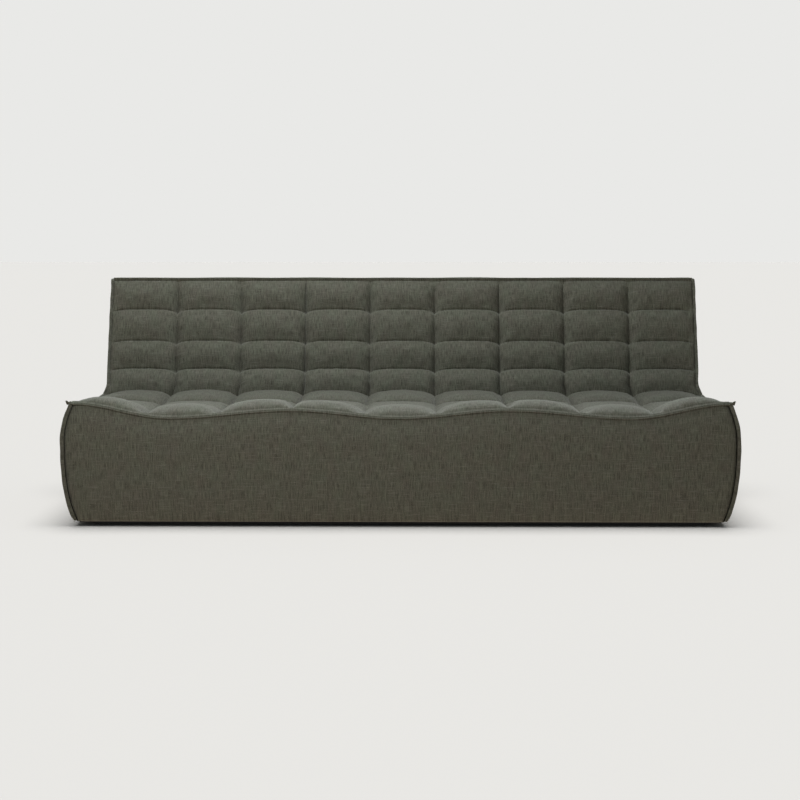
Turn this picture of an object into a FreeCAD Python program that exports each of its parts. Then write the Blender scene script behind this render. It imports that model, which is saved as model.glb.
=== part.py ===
import FreeCAD, Part
import math
import os

# Three-seater lounge sofa, upholstered on a plywood frame. Millimetres, +Z up, front faces -Y, right is +X.
# Sections are drawn in (f, z): f is the distance behind the foremost point, z the height above the floor.

# Overall sizes
overall_width = 2100.0
overall_depth = 910.0
overall_height = 760.0
floor_gap = 14.0  # floor to the underside of the covers

# Panels
seat_names = ("left", "centre", "right")
columns_per_seat = 3
back_rows = 3  # rows on the straight of the back, above the row that turns up from the seat

# Seat and back shape
seat_edge_height = 340.0  # front seam in the middle of a seat
seam_rise = 24.0  # how much higher the front seam is between two seats
corner_rise = 44.0  # how much higher it is at the outer corners
knee_depth = 640.0  # front to the seam where the seat turns up
knee_height = 352.0
lumbar_height = 437.0  # seam above the turned-up row
back_rake = 17.0  # degrees off upright
back_top_depth = 127.0  # front to rear across the top of the back
front_row_crown = 40.0
middle_row_crown = 18.0
rear_row_crown = 32.0
knee_crown = 24.0
back_crown = 18.0
top_crown = 10.0
front_crown = 22.0
rear_crown = 8.0
rear_lean = 82.0  # how far forward the foot of the rear cover is from its top
valley_at_tuft = 0.42  # share of the crown left between two columns
valley_at_seam = 0.2  # share of the crown left at a sewn seam
puff_fullness = 0.7  # below 1 the puffs rise faster from their valleys
lift_fade = 0.6  # share of the front edge's rise that each row behind it loses
column_steps = 4  # spans in the loft across a column

# Side outline seen from the front, as insets from the widest point
bottom_inset = 34.0
waist_inset = 28.0
top_inset = 31.0

# Covers and sewn flanges
cover_thickness = 2.5
quilt_edge = 14.0  # quilt thickness at its seams
hem_width = 40.0
flange_thickness = 4.0
flange_proud = 8.0
flange_tuck = 10.0
soft_gap = 0.3  # left between curved faces of neighbours
pad_ease = 4.0  # how much flatter a pad is than the cover over it

# Frame
ply = 18.0
rail = 24.0
deck_height = 215.0  # top of the rails that carry the springs
gable_inset = 65.0  # widest point to the outer face of a gable
front_pad_depth = 30.0
spring_rail_depth = 640.0
spring_rail_height = 95.0
rear_base_height = 84.0
tilted_rail_height = 70.0
lumbar_rail_top = 330.0
board = 4.0
rear_wadding_edge = 8.0
notch_gap = 0.2
block_side = 45.0
block_height = 60.0
frame_top_drop = 42.0  # overall height to the top of the gables

# Springs and webbing
springs_per_seat = 4
spring_wire = 3.8
spring_width = 46.0
spring_bars = 25
clip_height = 8.0
clip_width = 18.0
clip_depth = 14.0
felt = 3.0
back_foam = 55.0
strap_width = 70.0
strap = 2.0

# Base
plinth_side_inset = 100.0
plinth_width = 45.0
glide_height = 3.0
glide_diameter = 30.0
glide_pin = 5.0
glide_pin_length = 7.0
dust_cloth = 1.5

# Screws
screw_shank = 4.0
screw_head = 9.0
screw_head_height = 3.5
frame_screw_length = 60.0
plinth_screw_length = 40.0
screw_gap = 0.1

# Levels and lines that follow from the sizes above
half_width = overall_width / 2
seat_row_crowns = (front_row_crown, middle_row_crown, rear_row_crown)
seat_rows = len(seat_row_crowns)
seat_count = len(seat_names)
front_line = flange_proud + front_crown
top_line = overall_height - flange_proud - top_crown
back_top_line = overall_depth - back_top_depth
rear_top_line = overall_depth - flange_proud
rear_foot_line = rear_top_line - rear_lean
rear_cover_top = (rear_top_line - flange_thickness, top_line - flange_thickness)
quilt_front = front_line + cover_thickness + soft_gap
corner_height = seat_edge_height + corner_rise
foot_share = math.sqrt(bottom_inset) / (math.sqrt(bottom_inset) + math.sqrt(waist_inset))
bulge_height = floor_gap + (corner_height - floor_gap) * foot_share  # keeps the widest point at the bulge
frame_bottom = floor_gap + cover_thickness
frame_front = front_line + front_pad_depth
frame_top = overall_height - frame_top_drop
gable_face = half_width - gable_inset
rail_end = gable_face - ply
side_seam = cover_thickness + soft_gap
panel_seam = side_seam + flange_thickness + soft_gap
panel_half = half_width - top_inset - panel_seam
columns = seat_count * columns_per_seat
column_width = 2 * panel_half / columns
seat_width = 2 * panel_half / seat_count
spring_middle = deck_height + clip_height / 2
felt_bottom = spring_middle + spring_wire / 2
felt_top = felt_bottom + felt
rake_sin = math.sin(math.radians(back_rake))
rake_cos = math.cos(math.radians(back_rake))
x_axis = FreeCAD.Vector(1, 0, 0)
y_axis = FreeCAD.Vector(0, 1, 0)
z_axis = FreeCAD.Vector(0, 0, 1)
origin = FreeCAD.Vector(0, 0, 0)


# Drawing helpers

def at(x, f, z):
    return FreeCAD.Vector(x, f - overall_depth / 2, z)


def line(a, b):
    return Part.LineSegment(a, b).toShape()


def arc(a, middle, b):
    return Part.Arc(a, middle, b).toShape()


def box(x0, x1, f0, f1, z0, z1):
    return Part.makeBox(x1 - x0, f1 - f0, z1 - z0, at(x0, f0, z0))


def polygon_wire(points, x=0.0):
    corners = [at(x, f, z) for f, z in points]
    return Part.makePolygon(corners + corners[:1])


def polygon_prism(points, x0, x1):
    return Part.Face(polygon_wire(points, x0)).extrude(x_axis * (x1 - x0))


def wire_prism(wire, x0, x1):
    return Part.Face(wire).translated(x_axis * x0).extrude(x_axis * (x1 - x0))


def mirrored(shape):
    return shape.mirror(origin, x_axis)


def between(a, b, share):
    return (a[0] + (b[0] - a[0]) * share, a[1] + (b[1] - a[1]) * share)


def crowned(a, b, crown):
    """Middle of a line from a to b in (f, z), pushed out to its left by the crown."""
    length = math.hypot(b[0] - a[0], b[1] - a[1])
    middle = between(a, b, 0.5)
    return (middle[0] - (b[1] - a[1]) / length * crown, middle[1] + (b[0] - a[0]) / length * crown)


# The section through the seat and back

def down_back(along, inward):
    """A point on the raked back: along down from its top seam, inward behind the seam line."""
    f = back_top_line - along * rake_sin + inward * rake_cos
    z = top_line - along * rake_cos - inward * rake_sin
    return (f, z)


def down_to_height(z, inward):
    return (top_line - inward * rake_sin - z) / rake_cos


def edge_lift(x):
    """How far the front seam at x is above its height in the middle of a seat."""
    seat = min(seat_count - 1, max(0, int((x + panel_half) / seat_width)))
    centre = -panel_half + (seat + 0.5) * seat_width
    offset = max(-1.0, min(1.0, (x - centre) / (seat_width / 2)))
    outer = (seat == 0 and offset < 0) or (seat == seat_count - 1 and offset > 0)
    rise = corner_rise if outer else seam_rise
    return rise * (1 - math.cos(math.pi * offset)) / 2


def seat_seams(x):
    """Seam points of the seat from the front edge to the knee."""
    front = (quilt_front, seat_edge_height)
    knee = (knee_depth, knee_height)
    points = []
    for row in range(seat_rows + 1):
        f, z = between(front, knee, row / seat_rows)
        fade = max(0.0, 1 - lift_fade * row) if row < seat_rows else 0.0
        points.append((f, z + edge_lift(x) * fade))
    return points


def back_seams():
    """Seam points of the back from the knee to the top edge."""
    lumbar = down_to_height(lumbar_height, 0)
    straight = [down_back(lumbar * (1 - row / back_rows), 0) for row in range(back_rows + 1)]
    return [(knee_depth, knee_height)] + straight


def knee_inner():
    """Underside of the quilts at the knee, square to the bisector of seat and turned-up row."""
    after = back_seams()[1]
    angle = math.atan2(after[1] - knee_height, after[0] - knee_depth) / 2
    return (knee_depth + quilt_edge * math.sin(angle), knee_height - quilt_edge * math.cos(angle))


def seat_underside():
    return [(quilt_front, seat_edge_height - quilt_edge), knee_inner()]


def back_underside():
    lumbar = down_to_height(lumbar_height, 0)
    return [knee_inner(), down_back(lumbar, quilt_edge), down_back(0, quilt_edge)]


def seat_underside_height(f):
    front, knee = seat_underside()
    return front[1] + (knee[1] - front[1]) * (f - front[0]) / (knee[0] - front[0])


# The outline of the sides seen from the front

def side_points(inset):
    """Right-hand outline in (x, z): foot, bulge, waist and top, moved in by the inset."""
    edge = half_width - inset
    foot = (edge - bottom_inset, floor_gap)
    bulge = (edge, bulge_height)
    waist = (edge - waist_inset, corner_height)
    top = (edge - top_inset, overall_height)
    return foot, bulge, waist, top


def upright(point):
    return FreeCAD.Vector(point[0], -overall_depth / 2 - flange_proud, point[1])


def side_shell(outer_inset, inner_inset):
    """Curved slab along the right-hand side between two insets."""
    edges = []
    ends = []
    for inset in (outer_inset, inner_inset):
        foot, bulge, waist, top = side_points(inset)
        low = (foot[0], 0.0)
        edges += [line(upright(low), upright(foot)), arc(upright(foot), upright(bulge), upright(waist)),
                  line(upright(waist), upright(top))]
        ends.append((low, top))
    edges.append(line(upright(ends[0][0]), upright(ends[1][0])))
    edges.append(line(upright(ends[0][1]), upright(ends[1][1])))
    face = Part.Face(Part.Wire(Part.__sortEdges__(edges)))
    return face.extrude(y_axis * (overall_depth + 2 * flange_proud))


def side_envelope(inset):
    """Everything between the two sides, moved in by the inset."""
    foot, bulge, waist, top = side_points(inset)
    low = (foot[0], 0.0)
    right = [line(upright(low), upright(foot)), arc(upright(foot), upright(bulge), upright(waist)),
             line(upright(waist), upright(top))]
    left = [edge.mirror(origin, x_axis) for edge in right]
    ends = [line(upright((-p[0], p[1])), upright(p)) for p in (low, top)]
    face = Part.Face(Part.Wire(Part.__sortEdges__(right + left + ends)))
    return face.extrude(y_axis * (overall_depth + 2 * flange_proud))


def side_outline():
    """Closed outline of a side in the (f, z) plane, along its seams."""
    corner = (front_line, corner_height)
    foot = (front_line, floor_gap)
    seat_run = seat_seams(panel_half)[1:]
    back_run = back_seams()
    top_rear = (rear_top_line, top_line)
    rear_foot = (rear_foot_line, floor_gap)
    path = [corner, seat_run[0], back_run[0], back_run[1], back_run[-1]]
    edges = [line(at(0, *a), at(0, *b)) for a, b in zip(path, path[1:])]
    top_middle = crowned(back_run[-1], top_rear, top_crown)
    edges.append(arc(at(0, *back_run[-1]), at(0, *top_middle), at(0, *top_rear)))
    edges.append(line(at(0, *top_rear), at(0, *rear_foot)))
    edges.append(line(at(0, *rear_foot), at(0, *foot)))
    edges.append(arc(at(0, *foot), at(0, *crowned(foot, corner, front_crown)), at(0, *corner)))
    return Part.Wire(edges)


# Quilted pads

def quilt_section(x, seams, underside, crown_of_row, share):
    """Closed wire at x: a crowned arc over each row, then straight along the underside."""
    edges = []
    for row, (a, b) in enumerate(zip(seams, seams[1:])):
        top = crowned(a, b, crown_of_row(row) * share)
        edges.append(arc(at(x, *a), at(x, *top), at(x, *b)))
    back_way = [seams[-1]] + underside[::-1] + [seams[0]]
    edges += [line(at(x, *a), at(x, *b)) for a, b in zip(back_way, back_way[1:])]
    return Part.Wire(edges)


def valley(boundary):
    return valley_at_seam if boundary % columns_per_seat == 0 else valley_at_tuft


def quilt_column(column, seams_at, underside, crown_of_row):
    """One column of puffs, lofted across its width."""
    wires = []
    for step in range(column_steps + 1):
        share = step / column_steps
        low = valley(column) if share < 0.5 else valley(column + 1)
        full = low + (1 - low) * math.sin(math.pi * share) ** puff_fullness
        x = -panel_half + (column + share) * column_width
        wires.append(quilt_section(x, seams_at(x), underside, crown_of_row, full))
    return Part.makeLoft(wires, True, False)


def quilt(seat, seams_at, underside, crown_of_row):
    """The three columns of one seat as one sewn pad."""
    first = seat * columns_per_seat
    pads = [quilt_column(first + i, seams_at, underside, crown_of_row) for i in range(columns_per_seat)]
    return pads[0].multiFuse(pads[1:]).common(side_envelope(panel_seam))


def seat_quilt(seat):
    return quilt(seat, seat_seams, seat_underside(), lambda row: seat_row_crowns[row])


def back_row_crown(row):
    return knee_crown if row == 0 else back_crown


def back_quilt(seat):
    return quilt(seat, lambda x: back_seams(), back_underside(), back_row_crown)


# Covers

def seat_span(seat):
    start = -panel_half + seat * seat_width
    reach = half_width - panel_half
    low = start - (reach if seat == 0 else 0)
    high = start + seat_width + (reach if seat == seat_count - 1 else 0)
    return low, high


def hemmed_section(x, foot, top, crown, inward):
    """Cloth from its hem under the frame, round the foot and up to its top seam."""
    t = cover_thickness
    hem = (foot[0] + inward * hem_width, foot[1])
    inner_foot = (foot[0] + inward * t, foot[1] + t)
    inner_top = (top[0] + inward * t, top[1])
    inner_hem = (hem[0], hem[1] + t)
    inner_middle = crowned(inner_foot, inner_top, inward * crown)
    edges = [line(at(x, *hem), at(x, *foot)),
             arc(at(x, *foot), at(x, *crowned(foot, top, inward * crown)), at(x, *top)),
             line(at(x, *top), at(x, *inner_top)),
             arc(at(x, *inner_top), at(x, *inner_middle), at(x, *inner_foot)),
             line(at(x, *inner_foot), at(x, *inner_hem)),
             line(at(x, *inner_hem), at(x, *hem))]
    return Part.Wire(edges)


def front_cover(seat):
    low, high = seat_span(seat)
    steps = 2 * columns_per_seat
    wires = []
    for step in range(steps + 1):
        x = low + (high - low) * step / steps
        top = (front_line, seat_edge_height + edge_lift(x) - flange_thickness - soft_gap)
        wires.append(hemmed_section(x, (front_line, floor_gap), top, front_crown, 1))
    cloth = Part.makeLoft(wires, True, False).common(side_envelope(panel_seam))
    return cloth.cut(Part.makeCompound(plinth_screws(screw_gap)))


def front_flange():
    """Lip along the front edge of the seat, one length for each seat, sewn into one strip."""
    lengths = []
    for seat in range(seat_count):
        low, high = seat_span(seat)
        steps = 2 * columns_per_seat
        wires = []
        for step in range(steps + 1):
            x = low + (high - low) * step / steps
            top = seat_edge_height + edge_lift(x)
            low_z = top - flange_thickness
            lip = front_line - flange_proud
            edges = [line(at(x, quilt_front, low_z), at(x, quilt_front, top)),
                     line(at(x, quilt_front, top), at(x, lip + flange_thickness / 2, top)),
                     arc(at(x, lip + flange_thickness / 2, top), at(x, lip, top - flange_thickness / 2),
                         at(x, lip + flange_thickness / 2, low_z)),
                     line(at(x, lip + flange_thickness / 2, low_z), at(x, quilt_front, low_z))]
            wires.append(Part.Wire(edges))
        lengths.append(Part.makeLoft(wires, True, False))
    return lengths[0].multiFuse(lengths[1:]).common(side_envelope(panel_seam))


def rear_cover(seat):
    low, high = seat_span(seat)
    section = hemmed_section(0, (rear_foot_line, floor_gap), rear_cover_top, rear_crown, -1)
    cloth = wire_prism(section, low, high).common(side_envelope(panel_seam))
    return cloth.cut(Part.makeCompound(plinth_screws(screw_gap)))


def top_cover():
    t = cover_thickness
    front = (down_back(-flange_thickness, flange_thickness)[0] + soft_gap, top_line + flange_thickness)
    rear = (rear_top_line - flange_thickness, top_line + flange_thickness)
    rise = top_crown - flange_thickness
    inner_front = (front[0], front[1] - t)
    inner_rear = (rear[0], rear[1] - t)
    edges = [arc(at(0, *front), at(0, *crowned(front, rear, rise)), at(0, *rear)),
             line(at(0, *rear), at(0, *inner_rear)),
             arc(at(0, *inner_rear), at(0, *crowned(inner_front, inner_rear, rise)), at(0, *inner_front)),
             line(at(0, *inner_front), at(0, *front))]
    return wire_prism(Part.Wire(edges), -half_width, half_width).common(side_envelope(panel_seam))


def side_hem(grow):
    """Hem of the right-hand side cloth, clear of the front and rear hems."""
    foot = side_points(0)[0][0]
    hem_front = front_line + 2 * hem_width - grow
    hem_rear = rear_foot_line - 2 * hem_width + grow
    return box(foot - hem_width, foot - cover_thickness / 2, hem_front, hem_rear,
               floor_gap - grow, frame_bottom + grow)


def side_cover():
    """Right-hand side cloth with its hem."""
    cloth = wire_prism(side_outline(), 0, half_width).common(side_shell(0, cover_thickness))
    return cloth.fuse(side_hem(0)).removeSplitter()


def side_flange():
    """Flange round the right-hand side, open underneath where the hem turns in."""
    outline = side_outline()
    outer = wire_prism(outline.makeOffset2D(flange_proud, 0), 0, half_width)
    inner = wire_prism(outline.makeOffset2D(-flange_tuck, 2), 0, half_width)
    ring = outer.cut(inner).common(side_shell(side_seam, side_seam + flange_thickness))
    hem = side_hem(soft_gap).BoundBox
    depth = flange_proud + flange_tuck
    opening = Part.makeBox(half_width, hem.YLength, 2 * depth,
                           FreeCAD.Vector(0, hem.YMin, floor_gap - depth))
    return ring.cut(opening)


def top_front_flange():
    """Lip along the top edge of the back, lying on the ends of the back quilts."""
    points = [down_back(0, -flange_proud), down_back(-flange_thickness, -flange_proud),
              down_back(-flange_thickness, flange_thickness), down_back(0, flange_thickness)]
    return polygon_prism(points, -half_width, half_width).common(side_envelope(panel_seam))


def top_rear_flange():
    front = rear_top_line - 2 * flange_tuck
    low = top_line - flange_thickness + soft_gap
    lip = box(-half_width, half_width, front, overall_depth, low, low + flange_thickness)
    return lip.common(side_envelope(panel_seam))


# Foam and wadding

def seat_foam(seat):
    low, high = seat_span(seat)
    low = max(low, -gable_face)
    high = min(high, gable_face)
    knee = knee_inner()
    front_top = (frame_front, seat_underside_height(frame_front))
    points = [(frame_front, felt_top), front_top, knee, (knee[0], felt_top)]
    return polygon_prism(points, low, high)


def back_foam_block(seat):
    low, high = seat_span(seat)
    low = max(low, -gable_face)
    high = min(high, gable_face)
    knee = knee_inner()
    rear = quilt_edge + back_foam
    points = [(knee[0], felt_top)] + back_underside()
    points += [down_back(0, rear), down_back(down_to_height(felt_top, rear), rear)]
    return polygon_prism(points, low, high)


def front_pad():
    gap = cover_thickness + soft_gap
    foot = (front_line + gap, frame_bottom)
    top = (front_line + gap, seat_underside_height(front_line + gap))
    edges = [arc(at(0, *foot), at(0, *crowned(foot, top, front_crown - pad_ease)), at(0, *top)),
             line(at(0, *top), at(0, frame_front, top[1])),
             line(at(0, frame_front, top[1]), at(0, frame_front, frame_bottom)),
             line(at(0, frame_front, frame_bottom), at(0, *foot))]
    return wire_prism(Part.Wire(edges), -gable_face, gable_face)


def rear_line(inward, z):
    """f on a line along the rear cover, moved inward, at height z."""
    lean = (rear_cover_top[0] - rear_foot_line) / (rear_cover_top[1] - floor_gap)
    return rear_cover_top[0] - (rear_cover_top[1] - z) * lean - inward * math.hypot(1, lean)


def board_inset():
    return cover_thickness + soft_gap + rear_wadding_edge


def side_pad():
    """Foam between the right-hand gable and its cover, under the quilts."""
    front = front_line + flange_tuck + quilt_edge / 2
    foot = floor_gap + flange_tuck + soft_gap
    inset = flange_tuck + cover_thickness
    points = [(front, foot), (front, seat_underside_height(front))] + back_underside()[:-1]
    points += [down_back(down_to_height(frame_top, quilt_edge), quilt_edge)]
    points += [(rear_line(inset, frame_top), frame_top), (rear_line(inset, foot), foot)]
    return polygon_prism(points, gable_face, half_width).common(side_envelope(side_seam))


def rear_wadding():
    gap = cover_thickness + soft_gap
    low = frame_bottom
    high = frame_top
    foot = (rear_line(gap, low), low)
    top = (rear_line(gap, high), high)
    inner_foot = (rear_line(board_inset(), low), low)
    inner_top = (rear_line(board_inset(), high), high)
    edges = [arc(at(0, *foot), at(0, *crowned(foot, top, pad_ease - rear_crown)), at(0, *top)),
             line(at(0, *top), at(0, *inner_top)),
             line(at(0, *inner_top), at(0, *inner_foot)),
             line(at(0, *inner_foot), at(0, *foot))]
    return wire_prism(Part.Wire(edges), -gable_face, gable_face)


def top_pad():
    gap = cover_thickness + soft_gap
    level = top_line + flange_thickness - gap
    front = (down_back(-flange_thickness, quilt_edge)[0] + soft_gap, level)
    rear = (rear_top_line - 2 * flange_tuck - soft_gap, level)
    foam_front = down_back(-soft_gap, quilt_edge + soft_gap)
    foam_rear = down_back(-soft_gap, quilt_edge + back_foam)
    middle = crowned(front, rear, top_crown - flange_thickness - soft_gap)
    edges = [arc(at(0, *front), at(0, *middle), at(0, *rear)),
             line(at(0, *rear), at(0, rear[0], frame_top)),
             line(at(0, rear[0], frame_top), at(0, foam_rear[0], frame_top)),
             line(at(0, foam_rear[0], frame_top), at(0, *foam_rear)),
             line(at(0, *foam_rear), at(0, *foam_front)),
             line(at(0, *foam_front), at(0, *front))]
    return wire_prism(Part.Wire(edges), -gable_face, gable_face)


# Timber frame

def upright_points():
    """Outline of a gable or rib in (f, z)."""
    front = quilt_edge + back_foam + strap
    rear = board_inset() + board
    return [(frame_front, frame_bottom), (frame_front, deck_height),
            down_back(down_to_height(deck_height, front), front),
            down_back(down_to_height(frame_top, front), front),
            (rear_line(rear, frame_top), frame_top), (rear_line(rear, frame_bottom), frame_bottom)]


def level_rail_lines():
    """(front, bottom, top) of each rail that stands upright."""
    rear_base = rear_line(board_inset() + board, frame_bottom) - rail
    return {"front_rail": (frame_front, frame_bottom, deck_height),
            "spring_rail": (spring_rail_depth, deck_height - spring_rail_height, deck_height),
            "rear_base_rail": (rear_base, frame_bottom, frame_bottom + rear_base_height)}


def tilted_rail_tops():
    """Distance down the back to the top edge of each raked rail."""
    front = quilt_edge + back_foam + strap
    return {"top_rail": down_to_height(frame_top, front) + rail / 2,
            "lumbar_rail": down_to_height(lumbar_rail_top, front)}


def rail_section(name, grow):
    """Corners of a rail in (f, z), grown on every side."""
    if name in level_rail_lines():
        front, low, high = level_rail_lines()[name]
        return [(front - grow, low - grow), (front - grow, high + grow),
                (front + rail + grow, high + grow), (front + rail + grow, low - grow)]
    along = tilted_rail_tops()[name]
    inward = quilt_edge + back_foam + strap
    return [down_back(along - grow, inward - grow), down_back(along - grow, inward + rail + grow),
            down_back(along + tilted_rail_height + grow, inward + rail + grow),
            down_back(along + tilted_rail_height + grow, inward - grow)]


rail_names = list(level_rail_lines()) + list(tilted_rail_tops())


def screw_places():
    """Two points on the end of each rail, in (f, z)."""
    places = []
    for name in rail_names:
        corners = rail_section(name, 0)
        low = between(corners[0], corners[3], 0.5)
        high = between(corners[1], corners[2], 0.5)
        if name in tilted_rail_tops():
            low = between(corners[0], corners[1], 0.5)
            high = between(corners[2], corners[3], 0.5)
        places += [between(low, high, 0.25), between(low, high, 0.75)]
    return places


def screw(start, direction, length, grow):
    """Round-headed screw with its head let in at the start point."""
    head = Part.makeCylinder(screw_head / 2 + grow, screw_head_height, start, direction)
    shank = Part.makeCylinder(screw_shank / 2 + grow, length, start, direction)
    return head.fuse(shank)


def frame_screws_right(grow):
    return [screw(at(gable_face, f, z), x_axis * -1, frame_screw_length, grow) for f, z in screw_places()]


def timber_rail(name):
    blank = polygon_prism(rail_section(name, 0), -rail_end, rail_end)
    holes = frame_screws_right(screw_gap)
    blank = blank.cut(Part.makeCompound(holes + [mirrored(hole) for hole in holes]))
    if name in ("front_rail", "rear_base_rail"):
        blank = blank.cut(Part.makeCompound(plinth_screws(screw_gap)))
    return blank


def gable():
    """Right-hand gable, drilled for the frame screws."""
    plate = polygon_prism(upright_points(), rail_end, gable_face)
    return plate.cut(Part.makeCompound(frame_screws_right(screw_gap)))


def rib(x):
    plate = polygon_prism(upright_points(), x - ply / 2, x + ply / 2)
    notches = [polygon_prism(rail_section(name, notch_gap), x - ply, x + ply) for name in rail_names]
    return plate.cut(Part.makeCompound(notches))


def corner_blocks():
    """Glued three-cornered blocks where the front and rear rails meet the gables."""
    blocks = []
    lines = level_rail_lines()
    corners = [(lines["front_rail"][0] + rail, 1), (lines["rear_base_rail"][0], -1)]
    for f, inward in corners:
        for side in (-1, 1):
            x = side * rail_end
            points = [at(x, f, frame_bottom), at(x - side * block_side, f, frame_bottom),
                      at(x, f + inward * block_side, frame_bottom)]
            face = Part.Face(Part.makePolygon(points + points[:1]))
            blocks.append(face.extrude(z_axis * block_height))
    return Part.makeCompound(blocks)


def rear_panel():
    low = frame_bottom
    high = frame_top
    outer = board_inset()
    inner = outer + board
    points = [(rear_line(outer, low), low), (rear_line(outer, high), high),
              (rear_line(inner, high), high), (rear_line(inner, low), low)]
    return polygon_prism(points, -gable_face, gable_face)


# Springs and webbing

def spring_positions():
    pitch = seat_width / springs_per_seat
    count = springs_per_seat * seat_count
    return [-panel_half + (i + 0.5) * pitch for i in range(count)]


def spring_ends():
    return frame_front + rail / 2, spring_rail_depth + rail / 2


def seat_spring(x):
    """Zigzag spring: straight bars joined by half turns."""
    first, last = spring_ends()
    pitch = (last - first) / (spring_bars - 1)
    straight = spring_width / 2 - pitch / 2
    edges = []
    for bar in range(spring_bars):
        f = first + bar * pitch
        way = 1 if bar % 2 == 0 else -1
        start = at(x - way * straight, f, spring_middle)
        end = at(x + way * straight, f, spring_middle)
        edges.append(line(start, end))
        if bar < spring_bars - 1:
            outer = at(x + way * (straight + pitch / 2), f + pitch / 2, spring_middle)
            edges.append(arc(end, outer, at(x + way * straight, f + pitch, spring_middle)))
    path = Part.Wire(edges)
    begin = at(x - straight, first, spring_middle)
    profile = Part.Wire(Part.makeCircle(spring_wire / 2, begin, x_axis))
    return path.makePipeShell([profile], True, False)


def spring_clip(x, f):
    """Block on the rail with a bore for the end bar of a spring."""
    block = box(x - clip_width / 2, x + clip_width / 2, f - clip_depth / 2, f + clip_depth / 2,
                deck_height, felt_bottom)
    start = at(x - clip_width / 2, f, spring_middle)
    bore = Part.makeCylinder(spring_wire / 2 + screw_gap, clip_width, start, x_axis)
    return block.cut(bore)


def spring_clips():
    return Part.makeCompound([spring_clip(x, f) for x in spring_positions() for f in spring_ends()])


def spring_felt():
    rear = quilt_edge + back_foam
    return box(-gable_face, gable_face, frame_front, down_back(down_to_height(felt_top, rear), rear)[0],
               felt_bottom, felt_top)


def back_webbing():
    """One upright strap behind each column, across the two raked rails."""
    tops = tilted_rail_tops()
    start = tops["top_rail"] + rail / 2
    end = tops["lumbar_rail"] + tilted_rail_height / 2
    rear = quilt_edge + back_foam
    points = [down_back(start, rear), down_back(start, rear + strap),
              down_back(end, rear + strap), down_back(end, rear)]
    straps = []
    for column in range(columns):
        x = -panel_half + (column + 0.5) * column_width
        straps.append(polygon_prism(points, x - strap_width / 2, x + strap_width / 2))
    return Part.makeCompound(straps)


# Base

def plinth_lines():
    """(x0, x1, f0, f1) of each base strip."""
    x = half_width - plinth_side_inset
    front = level_rail_lines()["front_rail"][0]
    rear = level_rail_lines()["rear_base_rail"][0] + rail
    w = plinth_width
    return {"plinth_front": (-x, x, front, front + w), "plinth_rear": (-x, x, rear - w, rear),
            "plinth_left": (-x, -x + w, front + w, rear - w), "plinth_right": (x - w, x, front + w, rear - w)}


plinth_top = floor_gap - dust_cloth


def glide_places():
    places = []
    for x0, x1, f0, f1 in list(plinth_lines().values())[:2]:
        count = seat_count + 1
        for i in range(count):
            x = x0 + plinth_width / 2 + (x1 - x0 - plinth_width) * i / (count - 1)
            places.append((x, (f0 + f1) / 2))
    return places


def glide(x, f, grow):
    foot = Part.makeCylinder(glide_diameter / 2, glide_height, at(x, f, 0), z_axis)
    pin = Part.makeCylinder(glide_pin / 2 + grow, glide_height + glide_pin_length, at(x, f, 0), z_axis)
    return foot.fuse(pin).removeSplitter()


def plinth_screws(grow):
    """Screws up through the front and rear strips into the rails above them."""
    screws = []
    lines = level_rail_lines()
    for name, rail_name in (("plinth_front", "front_rail"), ("plinth_rear", "rear_base_rail")):
        x0, x1, _, _ = plinth_lines()[name]
        f = lines[rail_name][0] + rail / 2
        for i in range(2 * seat_count):
            x = x0 + (x1 - x0) * (i + 0.5) / (2 * seat_count)
            screws.append(screw(at(x, f, glide_height), z_axis, plinth_screw_length, grow))
    return screws


def plinth(name):
    x0, x1, f0, f1 = plinth_lines()[name]
    strip = box(x0, x1, f0, f1, glide_height, plinth_top)
    holes = [glide(x, f, screw_gap) for x, f in glide_places()] + plinth_screws(screw_gap)
    return strip.cut(Part.makeCompound(holes))


def dust_cover():
    foot = side_points(0)[0][0] - hem_width / 2
    margin = hem_width / 4
    sheet = box(-foot, foot, front_line + margin, rear_foot_line - margin, plinth_top, floor_gap)
    return sheet.cut(Part.makeCompound(plinth_screws(screw_gap)))


# Every node and its shape

nodes = {}
for seat, name in enumerate(seat_names):
    nodes["seat_quilt_" + name] = seat_quilt(seat)
    nodes["back_quilt_" + name] = back_quilt(seat)
    nodes["front_cover_" + name] = front_cover(seat)
    nodes["rear_cover_" + name] = rear_cover(seat)
    nodes["seat_foam_" + name] = seat_foam(seat)
    nodes["back_foam_" + name] = back_foam_block(seat)
sided = (("side_cover", side_cover), ("side_flange", side_flange), ("side_pad", side_pad), ("gable", gable))
for name, make in sided:
    right = make()
    nodes[name + "_right"] = right
    nodes[name + "_left"] = mirrored(right)
nodes["rib_left"] = rib(-seat_width / 2)
nodes["rib_right"] = rib(seat_width / 2)
for name in rail_names:
    nodes[name] = timber_rail(name)
for name in plinth_lines():
    nodes[name] = plinth(name)
screws_right = frame_screws_right(0)
nodes["frame_screws"] = Part.makeCompound(screws_right + [mirrored(one) for one in screws_right])
nodes["plinth_screws"] = Part.makeCompound(plinth_screws(0))
nodes["glides"] = Part.makeCompound([glide(x, f, 0) for x, f in glide_places()])
nodes["seat_springs"] = Part.makeCompound([seat_spring(x) for x in spring_positions()])
nodes["spring_clips"] = spring_clips()
nodes["spring_felt"] = spring_felt()
nodes["back_webbing"] = back_webbing()
nodes["corner_blocks"] = corner_blocks()
nodes["rear_panel"] = rear_panel()
nodes["front_pad"] = front_pad()
nodes["rear_wadding"] = rear_wadding()
nodes["top_pad"] = top_pad()
nodes["top_cover"] = top_cover()
nodes["front_flange"] = front_flange()
nodes["top_front_flange"] = top_front_flange()
nodes["top_rear_flange"] = top_rear_flange()
nodes["dust_cover"] = dust_cover()

os.makedirs("parts", exist_ok=True)
for name, shape in nodes.items():
    shape.exportStep("parts/" + name + ".step")
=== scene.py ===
import math

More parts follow.
